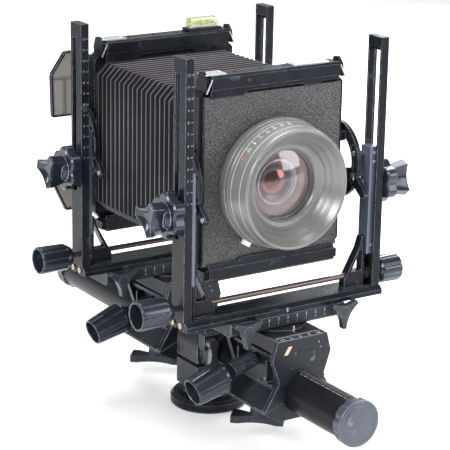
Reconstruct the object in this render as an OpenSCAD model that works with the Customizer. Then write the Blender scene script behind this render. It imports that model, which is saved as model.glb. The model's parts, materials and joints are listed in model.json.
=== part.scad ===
// View camera: two geared standards on a tubular rail, with a lens, square bellows
// and a ground-glass back.
// Origin: centre of the foot's underside, +Z up, the lens faces -Y, +X is the right
// hand side seen from in front.

/* [Rail] */
// Outer diameter of the rail tube
rail_d = 37.5; // [36:0.5:39]
// Wall thickness of the rail tube
rail_wall = 3; // [2:0.5:4]
// Distance from the foot's centre to the front end of the tube
rail_front = 225; // [215:5:300]
// Distance from the foot's centre to the rear end of the tube
rail_rear = 256; // [240:5:400]
// Height of the rail's axis above the foot's underside
rail_z = 60; // [58:1:64]

/* [Standards] */
// Distance from the front of the front posts to the front of the rear posts
standard_gap = 177.5; // [176:0.5:240]
// Distance from the foot's centre forward to the front of the front posts
front_reach = 121; // [120:1:140]
// Height of the posts above the base bar
post_h = 228.4; // [200:0.1:260]
// Depth of a post, front to back
post_d = 19.25; // [19:0.25:22]
// Width of a post's flange
post_flange = 8; // [7:0.5:9]
// Half the width over both posts
half_w = 105; // [104:0.5:108]

/* [Frames] */
// Half the width of the square frames
frame_half = 76; // [74:1:77]
// Height of the frames' centre above the base bar
frame_mid = 115; // [114:0.5:116]
// Half the height of the frames
frame_half_h = 79.5; // [78:0.5:80]
// Half the width of the square window in the frames
window_half = 62; // [55:1:64]

/* [Lens] */
// Height of the lens axis above the base bar
lens_z = 107; // [105:0.5:112]
// Radius of the lens barrel at its front rim
lens_r = 53.5; // [50:0.5:55]
// Length of the lens in front of the board
lens_len = 38; // [34:0.5:42]

/* [Knobs] */
// Radius of the rise knobs
rise_knob_r = 13; // [11:0.5:15]
// Radius of the focus knobs at their widest
focus_knob_r = 15; // [13:0.5:16]
// Downward tilt of the focus shafts, in degrees
focus_tilt = 17.6; // [14:0.2:19]
// Radius of the lobed clamp knobs
star_r = 20.5; // [18:0.5:21]

/* [Foot] */
// Radius of the foot
foot_r = 36; // [32:1:44]
// Radius of the threaded tripod socket
socket_r = 4; // [3:0.1:5]

/* [Hidden] */
$fn = 64;
fit = 0.05;
gap = 0.3;
rail_r = rail_d / 2;
base_z = rail_z + 74;
front_y = -front_reach;
rear_y = front_y + standard_gap;
drop = -74;
base_t = 7.7;
base_front = -5;
base_back = 24;
bar_bottom = -20;
bar_top = -base_t - gap;
block_front = -29;
block_back = 45;
block_top = -23;
swing_y = 10;
front_lever = -46;
rear_lever = -68;
web_t = 2;
slot_y = 12.9;
slot_half = 3.6;
slot_low = 72;
slot_high = 219;
shaft_y = 10;
rise_z = 10.5;
rise_shaft_r = 2.5;
carrier_in = 92;
carrier_out = 101;
carrier_low = 30;
carrier_high = 129.5;
star_z = 94.5;
knob_reach = 136;
tilt_y = 45;
tilt_z = 112.5;
arc_r = 32;
arc_outer = 37;
arc_inner = 27;
arc_in = 82;
arc_out = 86;
frame_front = 27;
frame_back = 40;
frame_top = frame_mid + frame_half_h;
frame_bottom = frame_mid - frame_half_h;
board_front = 23;
board_half = 71;
glass_ball = 80;
gear_y = 8;
gear_r = 12;
gear_z = drop + rail_r + gear_r + 2.7;
rack_half = 2.2;
rack_top = 1.5;
rack_pitch = PI;
jaw_bottom = -97.6;
jaw_stud = [-16, 14];

// ---- helpers ----

// A cylinder along X from x0 to x1.
module x_rod(r, x0, x1) {
    translate([x0, 0, 0]) rotate([0, 90, 0]) cylinder(h = x1 - x0, r = r);
}

// A cylinder along Y from y0 to y1.
module y_rod(r, y0, y1) {
    translate([0, y0, 0]) rotate([-90, 0, 0]) cylinder(h = y1 - y0, r = r);
}

// A box given by its lowest and highest corners.
module block(a, b) {
    translate(a) cube(b - a);
}

// An outline in the XZ plane, drawn out along Y from y0 to y1.
module along_y(y0, y1) {
    translate([0, y1, 0]) rotate([90, 0, 0]) linear_extrude(y1 - y0) children();
}

// An outline in the YZ plane, drawn out along X from x0 to x1.
module along_x(x0, x1) {
    translate([x0, 0, 0]) rotate([90, 0, 90]) linear_extrude(x1 - x0) children();
}

// Both the right-hand child and its mirror image on the left.
module both_sides() {
    children();
    mirror([1, 0, 0]) children();
}

// Places a standard's own frame: front of the posts at y, top of the base bar at z 0.
module standard(y) {
    translate([0, y, base_z]) children();
}

// A closed outline whose radius swings between r and r - depth, with a number of lobes.
module lobed(r, depth, lobes) {
    polygon([for (i = [0 : lobes * 12 - 1])
        let (a = i * 30 / lobes, k = r - depth * (1 - cos(lobes * a)) / 2)
        [k * cos(a), k * sin(a)]]);
}

// A square with cut corners, half-width w, half-height h.
module cut_square(w, h, cut) {
    polygon([[w - cut, h], [cut - w, h], [-w, h - cut], [-w, cut - h],
        [cut - w, -h], [w - cut, -h], [w, cut - h], [w, h - cut]]);
}

// Moves onto the tilted focus shaft: +Z runs out along the shaft towards the knob.
module on_focus_shaft() {
    translate([0, gear_y, gear_z]) rotate([0, -90 - focus_tilt, 0]) children();
}

// ---- rail and rail clamp ----

module rail_tube() {
    color("#2a2b2f")
        translate([0, 0, rail_z]) difference() {
            y_rod(rail_r, -rail_front, rail_rear);
            y_rod(rail_r - rail_wall, -rail_front - 1, rail_rear + 1);
            block([-rack_half, -rail_front - 1, rail_r - 1], [rack_half, rail_rear + 1, rail_r + 1]);
        }
}

module rail_rack() {
    teeth = floor((rail_front + rail_rear) / rack_pitch);
    color("#b9b4a6")
        translate([0, -rail_front, rail_z + rail_r]) along_x(-rack_half, rack_half)
            polygon(concat([[0, -1]], [for (i = [0 : teeth - 1], p = [[0, 0.2], [0.35, rack_top],
                [0.65, rack_top], [1, 0.2]]) [(i + p[0] * 0.98) * rack_pitch, p[1]]],
                [[teeth * rack_pitch, -1]]));
}

// Scalloped caps that close both ends of the tube.
module rail_caps() {
    color("#6b7684")
        translate([0, 0, rail_z]) {
            translate([0, -rail_front, 0]) rotate([90, 0, 0]) rail_cap(9);
            translate([0, rail_rear, 0]) rotate([-90, 0, 0]) rail_cap(9);
        }
}

module rail_cap(scallops) {
    difference() {
        union() {
            cylinder(h = 9, r = 21);
            cylinder(h = 10, r = 19);
            translate([0, 0, -12]) cylinder(h = 12, r = rail_r - rail_wall);
        }
        for (i = [0 : scallops - 1])
            rotate(i * 360 / scallops) translate([23.4, 0, -1]) cylinder(h = 7, r = 4);
    }
}

module clamp_block() {
    color("#34363b")
        difference() {
            union() {
                translate([0, 0, rail_z]) y_rod(25.5, -20, 16);
                block([-25.5, -20, 20], [25.5, 16, rail_z]);
                translate([0, 0, rail_z]) y_rod(22.5, -26, -20);
                translate([0, 0, rail_z]) y_rod(24, -43, -26);
                block([-33, -43, 70], [-17, -34, 84]);
            }
            translate([0, 0, rail_z]) y_rod(rail_r + fit, -50, 30);
            block([-3, -50, rail_z + 12], [3, 30, rail_z + rail_r + 2.5]);
            block([-30, -50, 44], [-15, 30, 48]);
            translate([-27, 0, 77]) y_rod(2.5 + fit, -44, -36);
        }
}

module foot() {
    color("#3a3c42")
        difference() {
            rotate_extrude() polygon([[0, 0], [foot_r - 1.5, 0], [foot_r, 1.5], [foot_r, 8],
                [foot_r - 3, 11], [24, 12.5], [24, 20], [0, 20]]);
            translate([0, 0, -1]) cylinder(h = 15, r = socket_r);
        }
}

module clamp_lever() {
    color("#9aa0a8")
        translate([-27, 0, 77]) {
            y_rod(2.5, -50.5, -37);
            y_rod(5, -50.5, -43 - gap);
            along_y(-50.5, -45) polygon([[-4, 2], [4, 2], [3, -8], [5, -24], [-4, -26], [-2.5, -8]]);
        }
}

// ---- one standard ----

// The carriage: two end plates and a narrower core round the rail.
module carriage(y) {
    plate = [[-26.5, block_top], [26.5, block_top], [31, -40], [23.5, -62], [38.5, -87],
        [20.5, -79.5], [-20.5, -79.5], [-38.5, -87], [-23.5, -62], [-31, -40]];
    core = [[-26.5, block_top], [26.5, block_top], [28.5, -34], [21.8, -41], [21.8, -72],
        [38.5, -86], [38.5, -87], [20.5, -79.5], [-20.5, -79.5], [-38.5, -87], [-38.5, -86],
        [-21.8, -72], [-21.8, -41], [-28.5, -34]];
    color("#3c3f45")
        standard(y) difference() {
            union() {
                along_y(block_front, block_front + 5) polygon(plate);
                along_y(block_front + 5, block_back - 5) polygon(core);
                along_y(block_back - 5, block_back) polygon(plate);
            }
            translate([0, 0, drop]) y_rod(rail_r + fit, block_front - 1, block_back + 1);
            block([-2.8, block_front - 1, drop + 12], [2.8, block_back + 1, drop + rail_r + 2.2]);
            translate([0, swing_y, block_top - 2]) cylinder(h = 3, r = 20 + fit);
            on_focus_shaft() {
                translate([0, 0, -5]) cylinder(h = 10, r = gear_r + 1);
                translate([0, 0, -14]) cylinder(h = 60, r = 4 + fit);
            }
        }
}

module jaw(y) {
    color("#33363b")
        standard(y) difference() {
            along_y(block_front, block_back)
                polygon([[-38.5, -88.2], [-20.5, -80.7], [20.5, -80.7], [38.5, -88.2],
                    [22, jaw_bottom], [-22, jaw_bottom]]);
            translate([0, 0, drop]) y_rod(rail_r + fit, block_front - 1, block_back + 1);
            translate([jaw_stud[0], jaw_stud[1], jaw_bottom - 1]) cylinder(h = 8, r = 3 + fit);
        }
}

// A flat wing lever with flared ends on a stud.
module jaw_lever(y) {
    color("#4b525c")
        standard(y) translate([jaw_stud[0], jaw_stud[1], jaw_bottom]) {
            translate([0, 0, -10]) cylinder(h = 16, r = 3);
            translate([0, 0, -10]) cylinder(h = 10 - gap, r = 7);
            rotate(-42) translate([0, 0, -16.4]) linear_extrude(7) difference() {
                square([48, 17], center = true);
                translate([0, 39]) circle(r = 35);
                translate([0, -39]) circle(r = 35);
            }
        }
}

module focus_shaft(y) {
    color("#54585f")
        standard(y) on_focus_shaft() {
            translate([0, 0, -12]) cylinder(h = 64, r = 4);
            translate([0, 0, -4]) linear_extrude(8) lobed(gear_r, 1.6, 24);
            translate([0, 0, 27]) linear_extrude(25) lobed(7, 0.6, 24);
        }
}

// A fluted knob that narrows towards its open, hollow end.
module focus_knob(y) {
    color("#2f343b")
        standard(y) on_focus_shaft() translate([0, 0, 52]) difference() {
            rotate_extrude() polygon([[0, 0], [7, 0], [9, 2.5], [focus_knob_r - 0.6, 9],
                [focus_knob_r, 12], [focus_knob_r - 2.4, 41.6], [focus_knob_r - 3, 42.4],
                [focus_knob_r - 4.2, 42.4], [focus_knob_r - 5, 22], [0, 22]]);
            for (i = [0 : 8])
                rotate(i * 40) translate([focus_knob_r + 1.8, 0, 6])
                    rotate([0, -4.6, 0]) cylinder(h = 50, r = 2.4);
        }
}

module swing_head(y) {
    color("#2b2d31")
        standard(y) translate([0, swing_y, 0]) {
            translate([0, 0, block_top - 2]) cylinder(h = 2.5, r = 20);
            translate([0, 0, block_top + gap]) cylinder(h = bar_bottom - block_top - gap, r = 25);
            block([-1, -25, block_top + gap], [1, 0, bar_bottom]);
        }
}

// The scale bar, with a tongue that guides the base bar.
module shift_bar(y, left_lever) {
    color("#25272b")
        standard(y) difference() {
            union() {
                along_x(left_lever - 14, 62) polygon([[-6, bar_bottom + 2], [-4, bar_bottom],
                    [26, bar_bottom], [26, bar_top], [-6, bar_top]]);
                block([left_lever - 14, 8, bar_top], [62, 12, bar_top + 2.6]);
            }
            for (x = [left_lever, 58])
                translate([x, 0, -15]) y_rod(2.5 + fit, -7, 6);
        }
}

// A three-pointed wing lever on a stud that runs back into the shift bar.
module wing_lever(y, x, turn) {
    color("#4a505a")
        standard(y) translate([x, 0, -15]) {
            y_rod(2.5, -14, 5);
            y_rod(6, -14, -6 - gap);
            along_y(-13.5, -7) rotate(turn) lobed(17, 9.5, 3);
        }
}

module base_bar(y) {
    color("#2e3036")
        standard(y) difference() {
            union() {
                along_x(-half_w, half_w) polygon([[base_front, -base_t], [base_back - 2, -base_t],
                    [base_back, -base_t + 2], [base_back, 0], [base_front + 3.5, 0],
                    [base_front, -3.5]]);
                both_sides() gusset();
            }
            block([-half_w - 1, 7.9, -base_t - 1], [half_w + 1, 12.1, -base_t + 2.8]);
            translate([0, shaft_y, rise_z]) x_rod(rise_shaft_r + fit, -100, 100);
            both_sides() for (sy = [4, 16])
                translate([0, sy, -3.2]) x_rod(1.5, half_w - 6, half_w + 1);
        }
}

// An open triangular strut beside a post's foot, which carries the rise shaft.
module gusset() {
    along_y(6, 14) difference() {
        polygon([[70, 0], [91.5, 0], [91.5, 46], [88.5, 46], [85.5, 36], [70, 8]]);
        polygon([[77.5, 14.5], [89, 14.5], [89, 40], [87.6, 36]]);
    }
}

module base_screws(y) {
    color("#c2a65a")
        standard(y) both_sides() for (sy = [4, 16])
            translate([0, sy, -3.2]) difference() {
                union() {
                    x_rod(1.5, half_w - 6, half_w);
                    x_rod(2.6, half_w, half_w + 1.2);
                }
                block([half_w + 0.7, -3, -0.4], [half_w + 2, 3, 0.4]);
            }
}

// A channel that opens inwards, with a slot through its web for the clamp bolt.
module post(y, side) {
    color("#303238")
        standard(y) mirror([side < 0 ? 1 : 0, 0, 0]) difference() {
            block([half_w - post_flange, 0, 0], [half_w, post_d, post_h]);
            block([half_w - post_flange - 1, web_t, -1],
                [half_w - web_t, post_d - web_t, slot_high]);
            block([half_w - web_t - 1, slot_y - slot_half, slot_low],
                [half_w + 1, slot_y + slot_half, slot_high - 4]);
            translate([0, shaft_y, rise_z]) x_rod(rise_shaft_r + fit, half_w - 5, half_w + 1);
        }
}

module rise_shaft(y) {
    color("#5b4a44")
        standard(y) translate([0, shaft_y, rise_z]) {
            x_rod(rise_shaft_r, -half_w - 8, half_w + 2);
            both_sides() rotate([90, 0, 90]) translate([0, 0, 94.5])
                linear_extrude(5) lobed(5.6, 1.1, 14);
        }
}

// Fluted hollow cups; the left one stands further out.
module rise_knobs(y) {
    color("#3b434d")
        standard(y) translate([0, shaft_y, rise_z]) {
            rotate([0, -90, 0]) translate([0, 0, half_w + 8]) rise_knob(33, 6);
            rotate([0, 90, 0]) translate([0, 0, half_w + 2]) rise_knob(24, 3);
        }
}

module rise_knob(len, neck) {
    cylinder(h = neck, r1 = rise_knob_r - 4, r2 = rise_knob_r - 1.2);
    difference() {
        translate([0, 0, neck]) linear_extrude(len - neck) difference() {
            circle(r = rise_knob_r);
            for (i = [0 : 8])
                rotate(i * 40) translate([rise_knob_r + 1.3, 0]) circle(r = 2.4);
        }
        translate([0, 0, len * 0.45]) cylinder(h = len, r = rise_knob_r - 3);
    }
}

// The bars that climb inside the posts, with two guide pins in each tilt arc.
module carriers(y) {
    color("#5c6377")
        standard(y) both_sides() difference() {
            union() {
                block([carrier_in, 3.5, carrier_low], [carrier_out, 16.9, carrier_high]);
                for (s = [-1, 1])
                    translate([0, tilt_y - arc_r * cos(18), tilt_z + s * arc_r * sin(18)])
                        x_rod(2, arc_in - 2, carrier_in + 1);
            }
            translate([0, slot_y, star_z]) x_rod(2.5 + fit, carrier_in - 1, carrier_out + 1);
        }
}

// A lobed knob with a four-winged handle and a bolt through post and carrier.
module clamp_knob(y, side) {
    color("#3a414b")
        standard(y) mirror([side < 0 ? 1 : 0, 0, 0]) translate([0, slot_y, star_z]) {
            x_rod(2.5, 88, half_w + 1);
            x_rod(9, half_w + gap, half_w + 2);
            along_x(half_w + 2, half_w + 13) lobed(star_r, 3.4, 6);
            along_x(half_w + 13, half_w + 16) lobed(13, 4, 4);
            along_x(half_w + 16, knob_reach) lobed(15, 5.5, 4);
        }
}

// Curved plates, slotted round the tilt axis, with a filled heel and a straight lever below,
// on bosses that stand out from the frame.
module tilt_arcs(y) {
    color("#1f2023")
        standard(y) both_sides() {
            difference() {
                along_x(arc_in, arc_out) union() {
                    translate([tilt_y, tilt_z]) difference() {
                        circle(r = arc_outer);
                        circle(r = arc_inner);
                        polygon([[0, 0], [-12, 60], [60, 60], [60, -60], [-34, -60]]);
                    }
                    translate([tilt_y, tilt_z]) intersection() {
                        circle(r = arc_outer);
                        polygon([[-9, -8], [-60, 4], [-60, -60], [-30, -60], [-6, -12]]);
                    }
                    polygon([[14, 105], [-1, 92], [-3.5, 88], [-1, 84.5], [3.5, 84.5], [18, 96]]);
                }
                along_x(arc_in - 1, arc_out + 1) translate([tilt_y, tilt_z]) arc_slot();
            }
            for (z = [94, 136])
                block([frame_half, 28, z - 4], [arc_in, 36, z + 4]);
        }
}

// The slot that the guide pins run in: a ring cut off between two angles.
module arc_slot() {
    difference() {
        circle(r = arc_r + 2.1);
        circle(r = arc_r - 2.1);
        polygon([[0, 0], [-60, 38], [-60, 90], [90, 90], [90, -90], [-60, -90], [-60, -38]]);
    }
}

module frame(y) {
    color("#2a2c31")
        standard(y) along_y(frame_front, frame_back) translate([0, frame_mid]) difference() {
            cut_square(frame_half, frame_half_h, 7);
            square([2 * window_half, 2 * window_half], center = true);
        }
}

// Bars that hold the board or the back against the frame, above and below, with stepped lips.
module board_clamps(y) {
    color("#2f3137")
        standard(y) {
            along_x(-67, 67) polygon([[19, frame_top], [38, frame_top], [38, 205], [36, 206.5],
                [21, 206.5], [19, 204.5]]);
            along_y(20.5, 22.6) polygon([[-67, frame_top], [-67, 187], [-34, 187], [-29, 191],
                [27, 191], [30, 189], [46, 189], [49, 191.5], [67, 191.5], [67, frame_top]]);
            both_sides() block([67, 22, 196], [71.5, 36, 204]);
            along_x(-67, 67) polygon([[19, frame_bottom], [38, frame_bottom], [38, 26],
                [36, 24], [21, 24], [19, 26]]);
            along_y(20.5, 22.6) polygon([[-67, frame_bottom], [-67, 39.5], [-38, 39.5],
                [-33, 42.5], [20, 42.5], [24, 39], [67, 39], [67, frame_bottom]]);
            both_sides() block([67, 22, 26], [71.5, 36, 34]);
        }
}

// ---- lens ----

module lens_board() {
    color("#4a4a4c")
        standard(front_y) difference() {
            block([-board_half, board_front, 38], [board_half, frame_front, 188]);
            translate([0, 0, lens_z]) y_rod(30, board_front - 1, frame_front + 1);
        }
}

// Moves onto the lens axis: +Z runs forward out of the lens from the board's face.
module on_lens_axis() {
    standard(front_y) translate([0, board_front, lens_z]) rotate([90, 0, 0]) children();
}

module lens_barrel() {
    color("#a9aaa6")
        on_lens_axis() rotate_extrude() polygon([[30, -4], [30, 0], [56, 0], [56, 3.5],
            [50, 3.5], [50, 11.5], [57, 11.5], [57, 15], [55.5, 19], [lens_r + 0.5, lens_len - 4],
            [lens_r, lens_len - 1], [lens_r - 1, lens_len], [lens_r - 2.5, lens_len],
            [lens_r - 4, lens_len - 2], [36, lens_len - 17], [33.5, lens_len - 17],
            [31.5, lens_len - 19], [31.5, lens_len - 23], [29, lens_len - 23], [26, 0], [26, -4]]);
}

// Ring that opens and closes the iris, with a small white handle.
module iris_ring() {
    color("#b3b4b0")
        on_lens_axis() {
            rotate_extrude() polygon([[50 + fit, 3.8], [57.3, 3.8], [58, 4.5], [58, 10.5],
                [57.3, 11.2], [50 + fit, 11.2]]);
            rotate(-122) block([57, -3.5, 5], [62, 3.5, 10]);
        }
}

module front_glass() {
    color("#c8b8c4")
        on_lens_axis() intersection() {
            translate([0, 0, lens_len - 23]) cylinder(h = 20, r = 31.5);
            translate([0, 0, lens_len - 14 - glass_ball]) sphere(r = glass_ball, $fn = 96);
        }
}

module rear_cell() {
    color("#26272a")
        on_lens_axis() translate([0, 0, -24]) difference() {
            cylinder(h = 20, r = 30);
            translate([0, 0, -1]) cylinder(h = 3, r = 27);
            translate([0, 0, 2]) cylinder(h = 19, r = 22);
        }
}

// ---- bellows, drawn as a plain square tube ----

module bellows() {
    color("#2c292f")
        translate([0, front_y + frame_back + gap, base_z + frame_mid]) rotate([-90, 0, 0])
            linear_extrude(standard_gap + frame_front - frame_back - 2 * gap) difference() {
                cut_square(75, 70.5, 10);
                cut_square(65, 62, 7);
            }
}

// ---- back ----

module glass_back() {
    color("#232427")
        standard(rear_y) difference() {
            along_y(frame_back, frame_back + 12) translate([0, frame_mid]) difference() {
                cut_square(frame_half, 74, 6);
                square([127, 102], center = true);
            }
            block([-66, frame_back + 4, frame_mid - 53.5], [66, frame_back + 7, frame_mid + 53.5]);
        }
}

module ground_glass() {
    color("#c9cdca")
        standard(rear_y)
            block([-66, frame_back + 4, frame_mid - 53.5], [66, frame_back + 7, frame_mid + 53.5]);
}

// Two smoked plates in line with the back, on its left side.
module smoked_panels() {
    color("#8d7f74")
        standard(rear_y) along_y(frame_back + 3, frame_back + 6) {
            polygon([[-frame_half, 136], [-110, 136], [-112, 138], [-112, 174], [-98, 195],
                [-frame_half, 195]]);
            polygon([[-frame_half, 45], [-98, 45], [-110, 70], [-110, 76], [-frame_half, 76]]);
        }
}

module spirit_level() {
    color("#d5dcc4")
        standard(rear_y) {
            block([24, 22, 206.5], [60, 36, 209.5]);
            block([27, 24, 209.5], [57, 34, 218.5]);
        }
}

clamp_block();
foot();
clamp_lever();
rail_tube();
rail_rack();
rail_caps();
bellows();
carriage(front_y);  // front_carriage
jaw(front_y);  // front_jaw
jaw_lever(front_y);  // front_jaw_lever
focus_shaft(front_y);  // front_focus_shaft
focus_knob(front_y);  // front_focus_knob
swing_head(front_y);  // front_swing_head
shift_bar(front_y, front_lever);  // front_shift_bar
wing_lever(front_y, 58, 150);  // front_shift_lock
wing_lever(front_y, front_lever, 150);  // front_swing_lock
base_bar(front_y);  // front_base_bar
post(front_y, -1);  // front_post_left
post(front_y, 1);  // front_post_right
base_screws(front_y);  // front_screws
rise_shaft(front_y);  // front_rise_shaft
rise_knobs(front_y);  // front_rise_knobs
carriers(front_y);  // front_carriers
clamp_knob(front_y, -1);  // front_clamp_knob_left
clamp_knob(front_y, 1);  // front_clamp_knob_right
tilt_arcs(front_y);  // front_tilt_arcs
frame(front_y);  // front_frame
board_clamps(front_y);  // front_board_clamps
carriage(rear_y);  // rear_carriage
jaw(rear_y);  // rear_jaw
jaw_lever(rear_y);  // rear_jaw_lever
focus_shaft(rear_y);  // rear_focus_shaft
focus_knob(rear_y);  // rear_focus_knob
swing_head(rear_y);  // rear_swing_head
shift_bar(rear_y, rear_lever);  // rear_shift_bar
wing_lever(rear_y, 58, 150);  // rear_shift_lock
wing_lever(rear_y, rear_lever, 150);  // rear_swing_lock
base_bar(rear_y);  // rear_base_bar
post(rear_y, -1);  // rear_post_left
post(rear_y, 1);  // rear_post_right
base_screws(rear_y);  // rear_screws
rise_shaft(rear_y);  // rear_rise_shaft
rise_knobs(rear_y);  // rear_rise_knobs
carriers(rear_y);  // rear_carriers
clamp_knob(rear_y, -1);  // rear_clamp_knob_left
clamp_knob(rear_y, 1);  // rear_clamp_knob_right
tilt_arcs(rear_y);  // rear_tilt_arcs
frame(rear_y);  // rear_frame
board_clamps(rear_y);  // rear_board_clamps
lens_board();
lens_barrel();
iris_ring();
front_glass();
rear_cell();
spirit_level();
glass_back();
ground_glass();
smoked_panels();
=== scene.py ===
"""Looks of the view camera: finishes, bellows, lens, knobs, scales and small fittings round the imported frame.

Lengths in the classes are millimetres. A standard's own frame has x across, y back from the front of its
posts and z up from the top of its base bar. Every mesh is turned into metres as it is made.
"""

import json
import logging
import math
from collections.abc import Callable, Sequence
from dataclasses import dataclass
from enum import Enum

import bmesh
import bpy
import numpy as np
from mathutils import Matrix, Vector


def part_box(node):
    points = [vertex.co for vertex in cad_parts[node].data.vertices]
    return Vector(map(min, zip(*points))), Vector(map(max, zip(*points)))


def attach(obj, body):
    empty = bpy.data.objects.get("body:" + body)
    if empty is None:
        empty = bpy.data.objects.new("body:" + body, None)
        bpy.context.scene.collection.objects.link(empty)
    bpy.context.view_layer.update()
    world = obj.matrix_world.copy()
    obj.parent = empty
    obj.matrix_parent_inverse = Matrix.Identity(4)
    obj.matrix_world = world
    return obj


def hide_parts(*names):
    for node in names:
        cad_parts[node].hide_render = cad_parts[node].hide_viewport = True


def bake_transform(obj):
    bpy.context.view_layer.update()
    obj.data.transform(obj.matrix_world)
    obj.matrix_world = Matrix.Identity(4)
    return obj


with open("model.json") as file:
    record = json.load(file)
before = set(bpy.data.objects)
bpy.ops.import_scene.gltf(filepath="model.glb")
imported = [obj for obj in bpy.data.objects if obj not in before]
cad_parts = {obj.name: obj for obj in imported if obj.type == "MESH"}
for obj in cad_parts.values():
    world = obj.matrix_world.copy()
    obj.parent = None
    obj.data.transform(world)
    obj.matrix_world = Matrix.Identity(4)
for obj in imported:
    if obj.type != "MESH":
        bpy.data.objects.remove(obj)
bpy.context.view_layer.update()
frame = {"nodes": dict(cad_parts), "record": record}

log = logging.getLogger("view_camera")
MM = 0.001
SIDES = ("front", "rear")

FORWARD = (0, -1, 0)

Points = np.ndarray
Socket = bpy.types.NodeSocket

DUST_COLOUR = (0.5, 0.5, 0.52, 1)
# painted purple light on the bellows' upward faces, where light falls from above
PAINTED_TOP_LIGHT = (0.04, 0.017, 0.03, 1)
COAT_ROUGHNESS = 0.08
# y and z of the clamp knobs' axis in a standard's frame
CLAMP_AXIS = (12.9, 94.5)


class Along(Enum):
    """The axis that an outline is drawn out along."""

    X = 0
    Y = 1
    Z = 2


# ---- meshes ----


def quads(rows: int, cols: int, wrap_rows: bool, wrap_cols: bool) -> Points:
    """Faces of a grid of points numbered row by row.

    Args:
        rows: Number of rows.
        cols: Number of points in a row.
        wrap_rows: Joins the last row to the first.
        wrap_cols: Joins the end of each row to its start.

    Returns:
        One row of four point numbers per face.
    """
    r = np.arange(rows if wrap_rows else rows - 1)[:, None]
    c = np.arange(cols if wrap_cols else cols - 1)[None, :]
    r2, c2 = (r + 1) % rows, (c + 1) % cols
    return np.stack([r * cols + c, r * cols + c2, r2 * cols + c2, r2 * cols + c], -1).reshape(-1, 4)


def aim(points: Points, axis: Sequence[float], at: Sequence[float] = (0, 0, 0)) -> Points:
    """Turns points drawn round +Z so that +Z runs along an axis, and moves them to a place."""
    turn = Vector((0, 0, 1)).rotation_difference(Vector(axis)).to_matrix()
    return points @ np.array(turn).T + np.array(at)


def spin(points: Points, degrees: float) -> Points:
    """Turns points round +Z by an angle."""
    a = math.radians(degrees)
    x, y, z = points.T
    return np.stack([x * math.cos(a) - y * math.sin(a), x * math.sin(a) + y * math.cos(a), z], -1)


def place_of(side: str) -> tuple[float, float, float]:
    """A standard's place in metres: the front of its posts, at the top of its base bar."""
    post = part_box(f"{side}_post_left")[0]
    return 0.0, post.y, post.z


def lathe(
    profile: Sequence[tuple[float, float]],
    segments: int,
    cut: Callable[[Points, Points, Points], Points] | None = None,
) -> tuple[Points, Points]:
    """Turns a closed profile round +Z: x = r cos a, y = r sin a, z = h for each (r, h) and angle a.

    Args:
        profile: Closed outline as (radius, height) pairs.
        segments: Steps round the axis.
        cut: Gives new radii from radii, heights and angles, for flutes and lobes.

    Returns:
        The points and the faces.
    """
    rh = np.array(profile, float)
    a = np.arange(segments) * 2 * math.pi / segments
    r = np.repeat(rh[:, :1], segments, 1)
    h = np.repeat(rh[:, 1:], segments, 1)
    angles = np.broadcast_to(a, r.shape)
    if cut is not None:
        r = cut(r, h, angles)
    points = np.stack([r * np.cos(angles), r * np.sin(angles), h], -1).reshape(-1, 3)
    return points, quads(len(rh), segments, True, True)


def prism(outline: Sequence[tuple[float, float]], lo: float, hi: float, along: Along) -> tuple[Points, list]:
    """Draws a closed outline out from lo to hi, with a flat cap at both ends."""
    flat = np.array(outline, float)
    n = len(flat)
    rest = [i for i in range(3) if i != along.value]
    points = np.zeros((2 * n, 3))
    points[:, rest] = np.vstack([flat, flat])
    points[:n, along.value], points[n:, along.value] = lo, hi
    faces = [list(f) for f in quads(2, n, False, True)]
    return points, [*faces, list(range(n))[::-1], list(range(n, 2 * n))]


def box(lo: Sequence[float], hi: Sequence[float]) -> tuple[Points, list]:
    """A box from its lowest and highest corners."""
    return prism([(lo[0], lo[1]), (hi[0], lo[1]), (hi[0], hi[1]), (lo[0], hi[1])], lo[2], hi[2], Along.Z)


def joined(parts: Sequence[tuple[Points, Sequence]]) -> tuple[Points, list]:
    """Puts several meshes into one."""
    points, faces, start = [], [], 0
    for p, f in parts:
        points.append(p)
        faces += [[int(i) + start for i in face] for face in f]
        start += len(p)
    return np.vstack(points), faces


def rounded(profile: Sequence[tuple[float, float]], radius: float, steps: int = 3) -> list[tuple[float, float]]:
    """Rounds the corners of a closed outline with short curves.

    Each corner becomes the quadratic curve from a point before it to a point after it, with the corner as
    its middle control point. The points are at most half an edge away.
    """
    p = np.array(profile, float)
    out = []
    for i in range(len(p)):
        here, before, after = p[i], p[i - 1], p[(i + 1) % len(p)]
        to_b, to_a = before - here, after - here
        lb, la = np.linalg.norm(to_b), np.linalg.norm(to_a)
        if here[0] < 1e-6 or min(la, lb) < 1e-6:
            out.append(tuple(here))
            continue
        a = here + to_b / lb * min(radius, lb * 0.45)
        b = here + to_a / la * min(radius, la * 0.45)
        for t in np.linspace(0, 1, steps + 1):
            out.append(tuple((1 - t) ** 2 * a + 2 * t * (1 - t) * here + t * t * b))
    return out


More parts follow.
